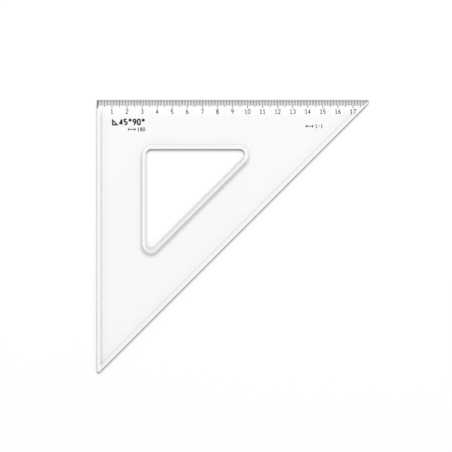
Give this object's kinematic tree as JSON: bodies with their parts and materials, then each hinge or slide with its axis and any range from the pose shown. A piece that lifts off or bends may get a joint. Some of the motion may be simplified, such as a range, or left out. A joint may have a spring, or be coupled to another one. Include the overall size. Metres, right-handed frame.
{
  "type": "set square",
  "caption": "Clear plastic 45-degree set square with a bevelled centimetre scale along one leg, stepped ink edges and a triangular window.",
  "frame": {"origin": "right-angle corner of the outline, on the underside; it is also the zero of the printed scale", "axes": "+X along the scale leg, the other leg along -Y, +Z out of the upper face, from which the print on the underside reads the right way round"},
  "size_m": [0.1806, 0.1806, 0.0022],
  "materials": {
    "clear_plastic": "polished clear acrylic",
    "black_ink": "hot-stamped black ink"
  },
  "bodies": {
    "root": {"plate": "clear_plastic", "angle_emblem": "black_ink", "centimetre_marks": "black_ink", "half_centimetre_marks": "black_ink", "length_note": "black_ink", "millimetre_marks": "black_ink", "numeral_01": "black_ink", "numeral_02": "black_ink", "numeral_03": "black_ink", "numeral_04": "black_ink", "numeral_05": "black_ink", "numeral_06": "black_ink", "numeral_07": "black_ink", "numeral_08": "black_ink", "numeral_09": "black_ink", "numeral_10": "black_ink", "numeral_11": "black_ink", "numeral_12": "black_ink", "numeral_13": "black_ink", "numeral_14": "black_ink", "numeral_15": "black_ink", "numeral_16": "black_ink", "numeral_17": "black_ink", "true_scale_note": "black_ink"}
  },
  "joints": []
}
